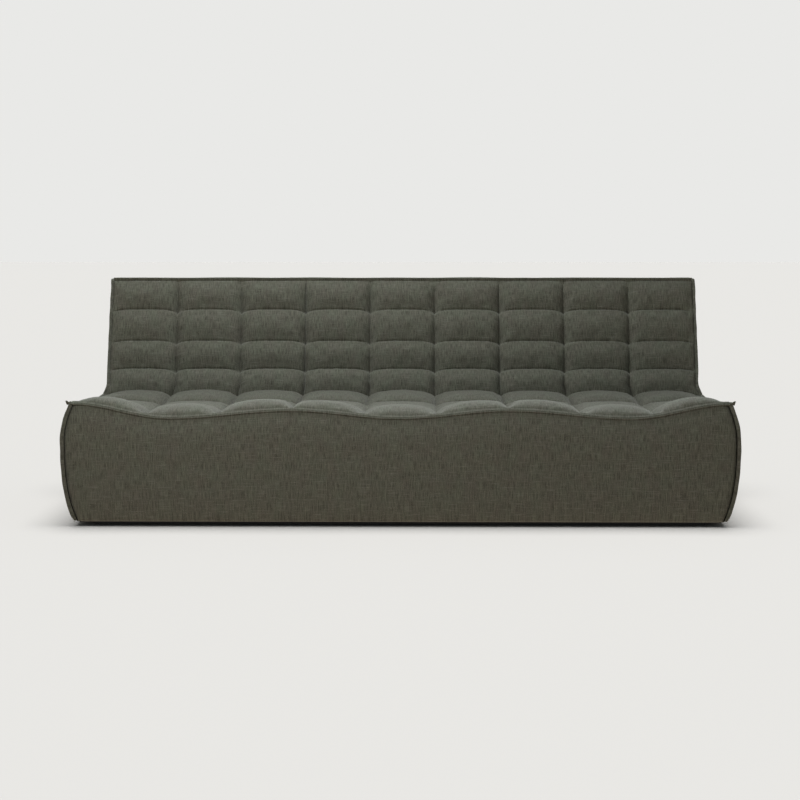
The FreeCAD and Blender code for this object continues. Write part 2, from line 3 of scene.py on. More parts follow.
import bpy
import numpy as np
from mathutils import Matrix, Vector


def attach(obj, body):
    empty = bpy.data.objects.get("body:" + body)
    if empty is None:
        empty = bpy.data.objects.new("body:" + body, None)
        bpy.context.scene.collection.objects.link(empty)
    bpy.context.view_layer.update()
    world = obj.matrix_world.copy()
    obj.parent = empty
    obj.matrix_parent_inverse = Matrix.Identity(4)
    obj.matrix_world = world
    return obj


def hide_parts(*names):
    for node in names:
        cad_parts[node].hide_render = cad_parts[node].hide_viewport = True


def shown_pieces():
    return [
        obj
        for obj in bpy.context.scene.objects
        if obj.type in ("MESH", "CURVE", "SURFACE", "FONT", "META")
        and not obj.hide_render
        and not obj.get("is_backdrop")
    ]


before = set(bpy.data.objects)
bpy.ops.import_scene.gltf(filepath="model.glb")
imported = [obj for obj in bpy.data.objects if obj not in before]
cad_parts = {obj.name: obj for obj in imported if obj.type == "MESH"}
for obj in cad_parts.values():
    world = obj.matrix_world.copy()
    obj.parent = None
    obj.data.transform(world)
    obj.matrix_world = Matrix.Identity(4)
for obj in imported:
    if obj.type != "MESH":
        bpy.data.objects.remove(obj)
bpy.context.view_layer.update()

# Sizes of the sofa in millimetres
# f is the distance behind the foremost point of the sofa, z the height above the floor.
overall_depth = 910.0
overall_height = 760.0
half_width = 1050.0
floor_gap = 14.0
seat_names = ("left", "centre", "right")
columns_per_seat = 3
seat_rows = 3
back_rows = 3
rows = seat_rows + 1 + back_rows
columns = columns_per_seat * len(seat_names)
seat_edge_height = 340.0
seam_rise = 24.0
corner_rise = 44.0
corner_height = seat_edge_height + corner_rise
lift_fade = 0.6  # share of the front seam's rise that is lost from one row seam to the next
outer_dip = 0.11  # how far outwards the front seam's low point lies in an outer seat
knee = (640.0, 352.0)
lumbar_height = 437.0
back_rake = math.radians(17.0)
front_line = 30.0
front_crown = 22.0
front_squareness = 3.6  # the higher, the flatter the middle of the front
top_line = 742.0
back_top_line = 783.0
rear_top = (898.0, 738.0)
rear_foot_line = 820.0
rear_crown = 8.0
rear_squareness = 2.4
top_seams = (789.0, 897.0)
top_seam_rise = 3.0
top_crown = 7.0
top_squareness = 0.7  # the lower, the flatter the middle of the top
top_pad_depth = 5.0
bottom_inset = 34.0
waist_inset = 28.0
top_inset = 31.0
bulge_height = 265.0
barrel_fullness = 2.6  # above 2 a side stays wide further down
side_range = (-40.0, 820.0)  # heights in the table of a side's width, and their step
side_step = 2.0
waist_window = 31  # steps over which the waist of a side is rounded
cover_thickness = 2.5
quilt_edge = 14.0
pad_depth = 30.0  # row seams to the underside of the panels
underside_bends = (0.2, 0.3)  # rows from the front and top edge to the bends of the underside
quilt_front = 32.8
hem_width = 40.0
panel_seam = 7.1
panel_half = half_width - top_inset - panel_seam
column_width = 2 * panel_half / columns
seat_width = 2 * panel_half / len(seat_names)
gable_face = 985.0
frame_front = 60.0
frame_bottom = floor_gap + cover_thickness
rear_pad = 9.0

# How the panels are shaped, in millimetres or as shares
puff_crowns = (29.0, 12.0, 24.0, 20.0, 12.0, 12.0, 12.0)  # row by row from the front edge
puff_rises = (0.5, 0.6, 0.45, 0.36, 0.3, 0.3, 0.3)  # the lower, the steeper a puff rises from its seams
puff_skews = (0.8, 1.0, 0.75, 1.2, 1.3, 1.3, 1.3)  # above 1 a puff is fuller at the far side of its row
puff_variety = 0.06
puff_seed = 11
seam_arches = (0.0, 5.0, 5.0, 6.0, 8.0, 9.0, 10.0, 0.0)  # how far a row seam bows between tufts
arch_squareness = 4
seat_hollow = (0.0, 8.0, 7.0, 0.0)  # how far the seat's row seams have sunk
seam_slides = (0.0, 0.0, 0.0, 0.0, 5.0, 12.0, 7.0, 0.0)  # how far a row seam lies below its even place
# Shares of the crown left at the outer edges, at a seam between two seats, and between two columns
seat_valley = (0.1, 0.4, 0.2)
back_valley = (0.08, 0.25, 0.15)
# How a puff rises from these
seat_rise = (0.75, 0.3, 0.6)
back_rise = (0.4, 0.4, 0.5)
pinch = 25.0  # how deep a tuft draws the panel in, and how far round it
pinch_reach = 12.0
pinch_above = 1.8  # a tuft draws the cloth in further above it than below
pinch_below = 0.5
seat_groove = 15.0  # how deep the seat is drawn in between two tufts
column_groove = 12.0  # the same on the back, and how far round it
column_groove_reach = 10.0
groove_skew = 0.6  # below 1 a groove is deepest nearer to its lower or front tuft
end_fade = 0.25  # tufts and grooves fade over this share of a row at the ends of a panel
side_fade = 0.5  # and over this share of a column at its outer side
crease_reach = 26.0  # how far from a seam the cloth keeps its crease
pucker = 1.0
pucker_reach = 14.0
pucker_waves = ((19.0, 40.0, 5), (31.0, -70.0, 6))  # length, shift from row to row, seed
tuft_hold = 0.5  # how firmly the lines between tufts are held while the cloth settles
row_cells = 16
column_cells = 26

# How the covers are shaped, in millimetres or as shares
edge_inset = 16.0  # outline of a side to the edge of the panels and covers beside it
back_edge_inset = 9.0  # the same on the back
cover_half = half_width - top_inset - back_edge_inset  # half length of the covers along the top
turn_levels = (corner_height, lumbar_height)  # heights between which edges change to those of the back
foot_radius = 8.0
edge_drop = 11.0  # how far a side drops towards its edge, and over what width
edge_soft = 22.0
edge_turn = 9.0  # how far a cover turns in at its outer edge, and over what width
edge_turn_width = 6.0
edge_shares = (0.0, 0.003, 0.006, 0.01)  # close steps across a cover at its two edges
seam_groove = 1.8
seam_groove_width = 3.0
front_drop = 2.0  # front seam to the upper edge of the front covers
front_steps = (0.12, 9, 32)  # up a cover: share of the foot, steps in it, steps above it
rear_steps = (0.06, 9, 60)
side_foot_steps = (0.06, 7)
side_back_steps = (46, 30)  # up and along a side behind the seat
side_edge_steps = 25  # up the front and the rear edge of a side
top_rows = 15
hem_rows = 3
hem_thickness = 2.0
hem_clearance = 0.3  # hems to the frame
pad_clearance = 1.0  # pads to the frame
side_clearance = 2.0  # outline of a side to its cloth
side_hem = 3.0
side_margin = 42.0  # width round a side without padding, and that over which the padding begins
side_margin_ramp = 25.0
# Slight waves in the covers: depth, stretch along both directions, length, seed
front_waves = ((1.1, 1.0, 3.0, 170.0, 21), (0.5, 2.5, 0.6, 70.0, 22))
rear_waves = ((1.2, 1.0, 2.0, 210.0, 31),)
top_waves = ((1.0, 1.0, 1.0, 230.0, 41),)
side_waves = ((1.2, 1.0, 1.0, 190.0, 51),)
wave_count = 5
wave_spread = (0.7, 1.5)
wave_sum = 2.5
cell = 10.0
crease_angle = 62

# Sewn flanges, in millimetres or as shares: reach and half thickness at each point of their section
flange_section = ((-9.0, 1.8), (-1.0, 2.0), (1.5, 2.5), (4.0, 2.3), (5.8, 0.8), (7.6, 2.2), (9.6, 2.4),
                  (11.4, 1.8), (12.2, 0.7))
flange_reach = 12.2
flange_step = 6.0
flange_sway = 0.7
flange_sway_length = 60.0
flange_rise = 1.0  # how far the front and the rear flange are sewn in above their edges
front_flange_depth = 1.0  # how far a flange is sewn in behind its edge
back_flange_depth = 2.0
front_flange_out = (0.0, -0.75, -0.66)  # direction in which a flange stands out
top_flange_out = (0.0, -0.4, 0.92)
rear_flange_out = (0.0, 0.6, 0.8)
front_flange_breadth = 0.68
front_flange_seed = 61
top_flange_seed = 62
rear_flange_seed = 63
side_flange_seed = 64
ear_reach = 21.0
ear_back = 4.0
ear_rise = -1.0
ear_out = (0.4, -0.3, 0.85)
ear_steps = 6
# Ring of flange round a side, at the front and on the back: it turns out sideways more at the front
ring_roots = (10.0, 5.5)  # outline of the side to the seam that the ring is sewn into
ring_breadths = (0.58, 0.72)
ring_forward = (0.75, 0.85)
ring_foot = 5.0  # underside of the covers to the ends of the ring, which narrows below ring_full
ring_full = 25.0
ring_foot_breadths = (0.35, 1.0)
ring_step = 5.0
heading_window = 7
# Stitches: a place along each one and its thickness there, then the corners round it
stitch_profile = ((-0.5, 0.3), (-0.25, 1.0), (0.25, 1.0), (0.5, 0.3))
stitch_square = ((-1, 0), (0, 1), (1, 0), (0, -1))
stitch_line = 5.8
stitch_height = 1.5
stitch_pitch = 7.0
stitch_length = 4.6
stitch_width = 0.9

# Dust cloth, in millimetres: it sags by dust_sag within these limits
dust_thickness = 1.5
dust_gap = 0.05
dust_sag = 4.0
dust_free_half = 900.0
dust_free_front = 110.0
dust_free_rear = 765.0
dust_free_fade = 320.0
dust_cells = (81, 33)


# Points, meshes and pieces

def by_height(z, pair):
    """The first value of a pair up to the seat's corner, the second from the foot of the back on."""
    return np.interp(z, turn_levels, pair)


def panel_inset(z):
    """Outline of a side to the edge of a panel at height z."""
    return by_height(z, (edge_inset, back_edge_inset))


def metres(x, f, z):
    """Points of the shared frame from millimetres."""
    x, f, z = np.broadcast_arrays(x, f, z)
    return np.stack([x, f - overall_depth / 2, z], axis=-1) / 1000.0


def table_faces(corner):
    """Quads over a table of point numbers, facing where its second axis turns left into its first."""
    quads = np.stack([corner[:-1, :-1], corner[:-1, 1:], corner[1:, 1:], corner[1:, :-1]], axis=-1)
    return quads.reshape(-1, 4).tolist()


def grid_faces(points):
    """Quads over a grid of points."""
    return table_faces(np.arange(points.shape[0] * points.shape[1]).reshape(points.shape[:2]))


def mesh_object(name, points, faces):
    mesh = bpy.data.meshes.new(name)
    mesh.from_pydata(np.asarray(points).reshape(-1, 3).tolist(), [], faces)
    mesh.shade_smooth()
    made = bpy.data.objects.new(name, mesh)
    bpy.context.scene.collection.objects.link(made)
    return made


def open_edges(faces):
    """Edges that belong to one face only, in the direction the face goes round."""
    edges = [(a, b) for face in faces for a, b in zip(face, face[1:] + face[:1])]
    known = set(edges)
    return [(a, b) for a, b in edges if (b, a) not in known]


def closed_pad(name, outer, inner, faces):
    """Solid between an outer sheet and an inner one with as many points, joined round their edge."""
    outer = np.asarray(outer).reshape(-1, 3)
    inner = np.asarray(inner).reshape(-1, 3)
    count = len(outer)
    turned = [[corner + count for corner in reversed(face)] for face in faces]
    walls = [[b, a, a + count, b + count] for a, b in open_edges(faces)]
    return mesh_object(name, np.concatenate([outer, inner]), faces + turned + walls)


def dress(piece, material, nodes):
    """Gives a piece its finish, hangs it on the root body and hides the solids that it stands for."""
    piece.data.materials.append(material)
    piece.data.set_sharp_from_angle(angle=math.radians(crease_angle))
    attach(piece, "root")
    if nodes:
        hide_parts(*nodes)


def ripple(a, b, length, seed):
    """Soft unevenness between about -1 and 1, from crossing waves of about that length."""
    draw = np.random.default_rng(seed)
    total = 0.0
    for _ in range(wave_count):
        turn = draw.uniform(0, math.tau)
        wave = length * draw.uniform(*wave_spread)
        phase = draw.uniform(0, math.tau)
        total = total + np.sin((a * math.cos(turn) + b * math.sin(turn)) * math.tau / wave + phase)
    return total / wave_sum


def waviness(waves, a, b):
    """Depth of a cover's waves at a and b along its two directions."""
    return sum(depth * ripple(along_a * a, along_b * b, length, seed)
               for depth, along_a, along_b, length, seed in waves)


# Outlines shared by the pieces

def edge_lift(x):
    """Rise of the front seam above its height in the middle of a seat."""
    x = np.asarray(x, dtype=float)
    seat = np.clip(((x + panel_half) / seat_width).astype(int), 0, len(seat_names) - 1)
    offset = np.clip((x + panel_half - (seat + 0.5) * seat_width) / (seat_width / 2), -1, 1)
    low = outer_dip * np.where(seat == 0, -1, np.where(seat == len(seat_names) - 1, 1, 0))
    outward = np.where(low < 0, low - offset, offset - low)
    rise = np.where((low != 0) & (outward > 0), corner_rise, seam_rise)
    reach = np.where(offset > low, 1 - low, 1 + low)
    return rise * (1 - np.cos(np.pi * (offset - low) / reach)) / 2


def down_back(along, inward):
    """A point on the raked back: along down from its top seam, inward behind the seam line."""
    f = back_top_line - along * math.sin(back_rake) + inward * math.cos(back_rake)
    z = top_line - along * math.cos(back_rake) - inward * math.sin(back_rake)
    return f, z


back_length = (top_line - lumbar_height) / math.cos(back_rake)


def seam_points(x):
    """f and z of the row seams at each x, from the front edge to the top of the back."""
    lift = edge_lift(x)
    even = np.zeros_like(lift)
    f_lines = []
    z_lines = []
    for row in range(seat_rows + 1):
        share = row / seat_rows
        fade = max(0.0, 1 - lift_fade * row)
        f_lines.append(quilt_front + (knee[0] - quilt_front) * share + even)
        level = seat_edge_height + (knee[1] - seat_edge_height) * share - seat_hollow[row]
        z_lines.append(level + lift * fade)
    for row in range(back_rows + 1):
        f, z = down_back(back_length * (1 - row / back_rows), 0)
        f_lines.append(f + even)
        z_lines.append(z + even)
    return np.array(f_lines), np.array(z_lines)


# Row seams at the outer edge of the panels
end_f, end_z = (lines[:, 0] for lines in seam_points(np.array([panel_half])))

side_heights = np.arange(*side_range, side_step)


def side_table():
    """Half width at each height: barrel below the seat, then straight, with a soft waist between."""
    down = np.maximum(bulge_height - side_heights, 0) / (bulge_height - floor_gap)
    below = half_width - bottom_inset * down ** barrel_fullness
    above = half_width - waist_inset * ((side_heights - bulge_height) / (corner_height - bulge_height)) ** 2
    straight = np.interp(side_heights, [corner_height, overall_height],
                         [half_width - waist_inset, half_width - top_inset])
    upper = np.where(side_heights < corner_height, above, straight)
    raw = np.where(side_heights < bulge_height, below, upper)
    window = np.hanning(waist_window)
    padded = np.pad(raw, waist_window // 2, mode="edge")
    return np.convolve(padded, window / window.sum(), mode="valid")


side_halves = side_table()


def side_half(z):
    return np.interp(z, side_heights, side_halves)


def foot_roll(z):
    """How far a cover has turned in towards its hem at height z."""
    short = np.clip(foot_radius - (z - floor_gap), 0, foot_radius)
    return foot_radius - np.sqrt(foot_radius ** 2 - short ** 2)


def front_face(z, top):
    """f of the front cover at height z, under a top seam at that height, rounded at the foot."""
    share = np.clip((z - floor_gap) / (top - floor_gap), 0, 1)
    bulge = front_line - front_crown * (1 - np.abs(2 * share - 1) ** front_squareness)
    return bulge + foot_roll(z)


def rear_face(z):
    """f of the rear cover at height z, rounded at the foot."""
    share = np.clip((z - floor_gap) / (rear_top[1] - floor_gap), 0, 1)
    straight = rear_foot_line + (rear_top[0] - rear_foot_line) * share
    return straight + rear_crown * (1 - np.abs(2 * share - 1) ** rear_squareness) - foot_roll(z)


# The tufted panel over seat and back

puff_draw = np.random.default_rng(puff_seed)
puff_fullness = 1 + puff_variety * puff_draw.standard_normal((rows, columns))


def spread(cells, parts):
    """Numbers from 0 to parts, closer together near the whole ones, where the seams are."""
    step = np.arange(cells * parts + 1)
    local = (step % cells) / cells
    eased = (1 - np.cos(np.pi * local)) / 2
    return step // cells + (local + eased) / 2


def across_puff(u, column, row):
    """Share of the crown across a column: a tight crease at a sewn seam, a wider valley at a tuft."""
    boundary = np.where(u < 0.5, column, column + 1)
    kind = np.where(boundary % columns == 0, 0, np.where(boundary % columns_per_seat == 0, 1, 2))
    on_seat = row[:, None] < seat_rows
    valley = np.where(on_seat, np.array(seat_valley)[kind], np.array(back_valley)[kind])
    rise = np.where(on_seat, np.array(seat_rise)[kind], np.array(back_rise)[kind])
    return valley + (1 - valley) * np.sin(np.pi * u) ** rise


def held_seams(x, u):
    """f and z of the row seams at each x, bowed between tufts and slid down from their even places."""
    seam_f, seam_z = seam_points(x)
    along_f = np.gradient(seam_f, axis=0)
    along_z = np.gradient(seam_z, axis=0)
    length = np.hypot(along_f, along_z)
    bow = 1 - np.abs(2 * u - 1) ** arch_squareness
    arch = np.array(seam_arches)[:, None] * bow - np.array(seam_slides)[:, None]
    return seam_f + along_f / length * arch, seam_z + along_z / length * arch


def puff_height(row, t, column, u):
    """How far the puffs stand above the lines between their row seams."""
    along = np.sin(np.pi * t ** np.array(puff_skews)[row][:, None]) ** np.array(puff_rises)[row][:, None]
    crown = np.array(puff_crowns)[row][:, None] * puff_fullness[row][:, column]
    return crown * along * across_puff(u, column, row)


def gathers(row, x, near_row):
    """Small puckers beside the row seams."""
    waves = sum(ripple(x[None, :] + shift * row[:, None], 0 * near_row, length, seed)
                for length, shift, seed in pucker_waves)
    return pucker * waves * near_row / pucker_reach * np.exp(1 - near_row / pucker_reach)


def drawn_in(row, t, x, near_row, near_column):
    """How far tufts draw the panel in, and how far the grooves between them do."""
    v = row[:, None] + t
    inside = np.minimum(1.0, np.minimum(v, rows - v) / end_fade)
    inside = inside * np.clip((panel_half - np.abs(x)) / (side_fade * column_width), 0, 1)
    stretch = np.where(t < 0.5, pinch_above, pinch_below)
    tuft = pinch * inside * np.exp(-np.hypot(near_row / stretch, near_column) / pinch_reach)
    groove = np.where(row[:, None] >= seat_rows, column_groove, seat_groove) * inside
    groove = groove * np.sin(np.pi * t ** groove_skew) * np.exp(-near_column / column_groove_reach)
    return tuft, groove


def panel_sheet(seat):
    """Upper side of one seat's panel, its faces, how firmly each point is held and how free it is."""
    v = spread(row_cells, rows)
    row = np.minimum(v.astype(int), rows - 1)
    t = (v - row)[:, None]
    local = spread(column_cells, columns_per_seat)
    inner = np.minimum(local.astype(int), columns_per_seat - 1)
    u = local - inner
    column = seat * columns_per_seat + inner
    x = -panel_half + (column + u) * column_width
    seam_f, seam_z = seam_points(x)
    chord_f = seam_f[row + 1] - seam_f[row]
    chord_z = seam_z[row + 1] - seam_z[row]
    chord = np.hypot(chord_f, chord_z)
    near_row = np.minimum(t, 1 - t) * chord
    near_column = np.minimum(u, 1 - u)[None, :] * column_width
    tuft, groove = drawn_in(row, t, x, near_row, near_column)
    rise = puff_height(row, t, column, u) + gathers(row, x, near_row) - tuft - groove
    held_f, held_z = held_seams(x, u)
    f = held_f[row] * (1 - t) + held_f[row + 1] * t - chord_z / chord * rise
    z = held_z[row] * (1 - t) + held_z[row + 1] * t + chord_f / chord * rise
    points = metres(x * (side_half(z) - panel_inset(z)) / panel_half, f, z)
    sewn_row = np.isclose(t[:, 0], 0) | np.isclose(t[:, 0], 1)
    sewn_column = np.isclose(local % columns_per_seat, 0)
    tuft_column = np.isclose(u, 0) | np.isclose(u, 1)
    sewn = sewn_row[:, None] | sewn_column[None, :]
    hold = np.where(sewn, 1.0, np.where(tuft_column[None, :], tuft_hold, 0.0))
    free = np.clip(np.minimum(near_row, near_column) / crease_reach, 0, 1)
    return points, grid_faces(points), hold.reshape(-1), free[..., None]


def panel_underside(points):
    """Flat underside of a panel, one point below each point of the sheet."""
    v = spread(row_cells, rows)
    bend = math.atan2(lumbar_height - knee[1], down_back(back_length, 0)[0] - knee[0]) / 2
    corners = [(quilt_front, seat_edge_height - quilt_edge),
               (quilt_front + pad_depth, seat_edge_height - pad_depth),
               (knee[0] + pad_depth * math.sin(bend), knee[1] - pad_depth * math.cos(bend)),
               down_back(back_length, pad_depth), down_back(pad_depth, pad_depth), down_back(0, quilt_edge)]
    at = [0, underside_bends[0], seat_rows, seat_rows + 1, rows - underside_bends[1], rows]
    f, z = (np.interp(v, at, line) for line in zip(*corners))
    return metres(points[..., 0] * 1000, f[:, None], z[:, None])


# Cloth simulation

settle_frames = 20
settle_cap = 0.014  # metres that a point may move
settle_settings = {
    "quality": 6,
    "mass": 0.25,
    "vertex_group_mass": "sewn",
    "use_pressure": True,
    "uniform_pressure_force": 3.0,
    "shrink_min": -0.012,
    "tension_stiffness": 20,
    "compression_stiffness": 20,
    "shear_stiffness": 8,
    "bending_stiffness": 1.5,
}


def settling_cloth(name, points, faces, hold):
    """Sheet with a cloth simulation, held at its sewn points."""
    cloth = mesh_object(name, points, faces)
    sewn = cloth.vertex_groups.new(name="sewn")
    for level in np.unique(hold[hold > 0]):
        sewn.add(np.nonzero(hold == level)[0].tolist(), float(level), "REPLACE")
    modifier = cloth.modifiers.new("cloth", "CLOTH")
    modifier.point_cache.frame_end = settle_frames
    modifier.collision_settings.use_collision = False
    for key, value in settle_settings.items():
        setattr(modifier.settings, key, value)
    modifier.settings.effector_weights.gravity = 0
    return cloth


def settle(sheets):
    """Lets each sheet swell between its sewn lines under a little air, and gives the moved points."""
    scene = bpy.context.scene
    cloths = [settling_cloth("settling_%d" % number, points, faces, hold)
              for number, (points, faces, hold, _) in enumerate(sheets)]
    for step in range(1, settle_frames + 1):
        scene.frame_set(step)
    depsgraph = bpy.context.evaluated_depsgraph_get()
    settled = []
    for cloth, (points, _, _, free) in zip(cloths, sheets):
        mesh = cloth.evaluated_get(depsgraph).data
        moved = np.empty(len(mesh.vertices) * 3)
        mesh.vertices.foreach_get("co", moved)
        shift = moved.reshape(points.shape) - points
        far = np.linalg.norm(shift, axis=-1, keepdims=True)
        settled.append(points + shift * free * (settle_cap / np.maximum(far, settle_cap)))
    for cloth in cloths:
        bpy.data.meshes.remove(cloth.data)
    scene.frame_set(1)
    return settled


# Colours and material nodes

def linear(code):
    """Linear colour from an sRGB hex value."""
    channels = [int(code[i:i + 2], 16) / 255 for i in (1, 3, 5)]
    return tuple(c / 12.92 if c <= 0.04045 else ((c + 0.055) / 1.055) ** 2.4 for c in channels) + (1.0,)


def node(tree, kind, settings, inputs):
    """Adds a node, sets it, fills its sockets with values or links from other nodes, and gives its outputs.
    Socket numbers of a map range: 0 value, 1 and 2 from, 3 and 4 to; of a mix: 0 share, 6 and 7 colours."""
    made = tree.nodes.new("ShaderNode" + kind)
    for key, value in settings.items():
        setattr(made, key, value)
    for socket, value in inputs.items():
        if isinstance(value, bpy.types.NodeSocket):
            tree.links.new(value, made.inputs[socket])
        else:
            made.inputs[socket].default_value = value
    return made.outputs


def new_material(name):
    """Empty material, its node tree and its shader."""
    material = bpy.data.materials.new(name)
    material.use_nodes = True
    return material, material.node_tree, material.node_tree.nodes["Principled BSDF"]


def cloth_position(tree, side):
    """Position on the cloth: across its warp, then along it."""
    place = node(tree, "TexCoord", {}, {})["Object"]
    axes = node(tree, "SeparateXYZ", {}, {0: place})
    if side:
        outward = node(tree, "Math", {"operation": "ABSOLUTE"}, {0: axes[0]})[0]
        round_edge = node(tree, "Math", {"operation": "ADD"}, {0: axes[1], 1: outward})[0]
        return node(tree, "CombineXYZ", {}, {0: round_edge, 1: axes[2]})[0]
    along = node(tree, "Math", {"operation": "ADD"}, {0: axes[1], 1: axes[2]})[0]
    return node(tree, "CombineXYZ", {}, {0: axes[0], 1: along})[0]


# Yarns of the weave: size of a patch across and along the warp in mm, its noise from none to full, colour
yarn_layers = (
    ((40.0, 80.0), (0.35, 0.65), "#5a574d"),  # cones of slightly browner yarn
    ((3.0, 60.0), (0.48, 0.85), "#6b6b5c"),  # slubs along the warp
    ((2.6, 30.0), (0.58, 0.32), "#434238"),  # shade between warp threads
    ((44.0, 3.2), (0.54, 0.95), "#75756a"),  # long weft threads
    ((2.6, 2.6), (0.56, 0.88), "#84836f"),  # flecks
)
ground_yarn = "#5a5c4f"
# Relief in metres, roughness of ground and flecks, noise of a grain where it is dark and where it is pale
weave_relief = 0.0011
weave_roughness = (0.95, 0.82)
relief_strength = 0.5
metal_relief = 0.0002
grain_range = (0.3, 0.7)
grain_gloss = 0.08


def woven_upholstery(name, side):
    """Slubbed upholstery weave in mixed olive, grey and brown yarns: matt, streaked along the warp,
    with a faint pale bloom of fibres where it turns away. Yarns are about 1.2 mm apart and are drawn
    about twice as coarse, so that they show."""
    material, tree, shader = new_material(name)
    position = cloth_position(tree, side)
    colour = linear(ground_yarn)
    height = 0.0
    for (across, along), (none, full), yarn in yarn_layers:
        scale = (1000.0 / across, 1000.0 / along, 1.0)
        stretched = node(tree, "VectorMath", {"operation": "MULTIPLY"}, {0: position, 1: scale})[0]
        threads = node(tree, "TexNoise", {}, {"Vector": stretched, "Scale": 1.0, "Detail": 2.0})[0]
        share = node(tree, "MapRange", {}, {0: threads, 1: none, 2: full})[0]
        colour = node(tree, "Mix", {"data_type": "RGBA"}, {0: share, 6: colour, 7: linear(yarn)})[2]
        height = node(tree, "Math", {"operation": "ADD"}, {0: threads, 1: height})[0]
    bump = {"Strength": relief_strength, "Distance": weave_relief, "Height": height}
    relief = node(tree, "Bump", {}, bump)[0]
    rough = node(tree, "MapRange", {}, {0: share, 3: weave_roughness[0], 4: weave_roughness[1]})[0]
    tree.links.new(colour, shader.inputs["Base Color"])
    tree.links.new(rough, shader.inputs["Roughness"])
    tree.links.new(relief, shader.inputs["Normal"])
    shader.inputs["Specular IOR Level"].default_value = 0.25
    shader.inputs["Sheen Weight"].default_value = 0.3
    shader.inputs["Sheen Roughness"].default_value = 0.45
    shader.inputs["Sheen Tint"].default_value = linear("#c9c8bd")
    return material


def grained(name, sizes, dark, pale, roughness, relief_depth):
    """Surface whose colour, sheen and relief follow one grain, stretched to the given sizes in mm."""
    material, tree, shader = new_material(name)
    place = node(tree, "TexCoord", {}, {})["Object"]
    scale = tuple(1000.0 / size for size in sizes)
    stretched = node(tree, "VectorMath", {"operation": "MULTIPLY"}, {0: place, 1: scale})[0]
    grain = node(tree, "TexNoise", {}, {"Vector": stretched, "Scale": 1.0, "Detail": 4.0})[0]
    tone = node(tree, "MapRange", {}, {0: grain, 1: grain_range[0], 2: grain_range[1]})[0]
    colour = node(tree, "Mix", {"data_type": "RGBA"}, {0: tone, 6: linear(dark), 7: linear(pale)})[2]
    bump = {"Strength": relief_strength, "Distance": relief_depth, "Height": grain}
    relief = node(tree, "Bump", {}, bump)[0]
    gloss = {0: grain, 3: roughness - grain_gloss, 4: roughness + grain_gloss}
    rough = node(tree, "MapRange", {}, gloss)[0]
    tree.links.new(colour, shader.inputs["Base Color"])
    tree.links.new(rough, shader.inputs["Roughness"])
    tree.links.new(relief, shader.inputs["Normal"])
    return material, shader


def metal(name, sizes, dark, pale, roughness):
    """Grained surface of bare or plated metal."""
    material, shader = grained(name, sizes, dark, pale, roughness, metal_relief)
    shader.inputs["Metallic"].default_value = 1.0
    return material


# Upholstery weave on the panels, with the warp up the sofa, and on the two sides
weave = woven_upholstery("woven_olive_upholstery", False)
side_weave = woven_upholstery("woven_olive_upholstery_on_the_sides", True)
# Spun polyester sewing thread, twisted: smoother than the cloth, so it catches a little light
thread = grained("spun_polyester_thread", (1.0, 1.0, 1.0), "#6a6858", "#8b8977", 0.6, 0.0002)[0]
# Black satin lacquer brushed on timber: faint brush marks along the strip
black_lacquer = grained("brushed_black_lacquer", (90.0, 4.0, 4.0), "#0c0c0b", "#191817", 0.5, 0.0002)[0]
# Moulded nylon: even, waxy, slightly mottled
nylon = grained("moulded_nylon", (3.0, 3.0, 3.0), "#22211f", "#2f2e2b", 0.45, 0.0001)[0]
# Spunbonded polypropylene: matt black web of short fibres
spunbond = grained("spunbonded_polypropylene", (2.5, 2.5, 2.5), "#121211", "#24231f", 0.9, 0.0004)[0]
# Birch plywood face, rotary cut: pale with long soft figure
plywood = grained("birch_plywood", (6.0, 120.0, 40.0), "#b18f62", "#d6bb8f", 0.65, 0.0003)[0]
# Planed pine: straight grain along the rail
pine = grained("planed_pine", (240.0, 7.0, 7.0), "#b48a54", "#d9b985", 0.6, 0.0003)[0]
# Hardboard: pressed brown fibre, smooth face
hardboard = grained("pressed_hardboard", (2.0, 2.0, 2.0), "#4f3521", "#6d4c30", 0.55, 0.0002)[0]
# Drawn spring wire: grey, fine die marks
spring_wire = metal("drawn_spring_steel", (14.0, 2.0, 2.0), "#6f7072", "#9a9b9d", 0.38)
# Zinc plate: bluish, slightly clouded
zinc = metal("zinc_plated_steel", (2.0, 2.0, 2.0), "#9a9da3", "#c3c6cb", 0.34)

solid_finishes = {
    black_lacquer: ("plinth_front", "plinth_rear", "plinth_left", "plinth_right"),
    nylon: ("glides", "spring_clips"),
    plywood: ("gable_left", "gable_right", "rib_left", "rib_right"),
    pine: ("front_rail", "spring_rail", "rear_base_rail", "lumbar_rail", "top_rail", "corner_blocks"),
    hardboard: ("rear_panel",),
    spring_wire: ("seat_springs",),
    zinc: ("frame_screws", "plinth_screws"),
}
for finish, names in solid_finishes.items():
    for name in names:
        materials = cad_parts[name].data.materials
        materials.clear()
        materials.append(finish)


# Panels and covers

def make_panels():
    sheets = [panel_sheet(seat) for seat in range(len(seat_names))]
    settled = settle(sheets)
    for name, (_, faces, _, _), points in zip(seat_names, sheets, settled):
        piece = closed_pad("tufted_panel_" + name, points, panel_underside(points), faces)
        nodes = [kind + name for kind in ("seat_quilt_", "back_quilt_", "seat_foam_", "back_foam_")]
        if name == "centre":
            nodes += ["spring_felt", "back_webbing"]
        dress(piece, weave, nodes)


def seat_reach(seat, z):
    """Left and right end of a cover over one seat at height z."""
    left, right = ((end / len(seat_names) - 0.5) * 2 * cover_half for end in (seat, seat + 1))
    if seat == 0:
        left = panel_inset(z) - side_half(z)
    if seat == len(seat_names) - 1:
        right = side_half(z) - panel_inset(z)
    return left, right


def seam_dip(x):
    """Groove where a cover is sewn to the next one, between two seats."""
    seams = seat_reach(1, 0)
    return sum(seam_groove * np.exp(-np.abs(x - seam) / seam_groove_width) for seam in seams)


def edge_spread(cells):
    """Shares from 0 to 1 across a cover, close together at its two edges."""
    even = np.linspace(0, 1, cells + 1)
    close = np.array(edge_shares)
    return np.concatenate([close, even[1:-1], 1 - close[::-1]])[None, :]


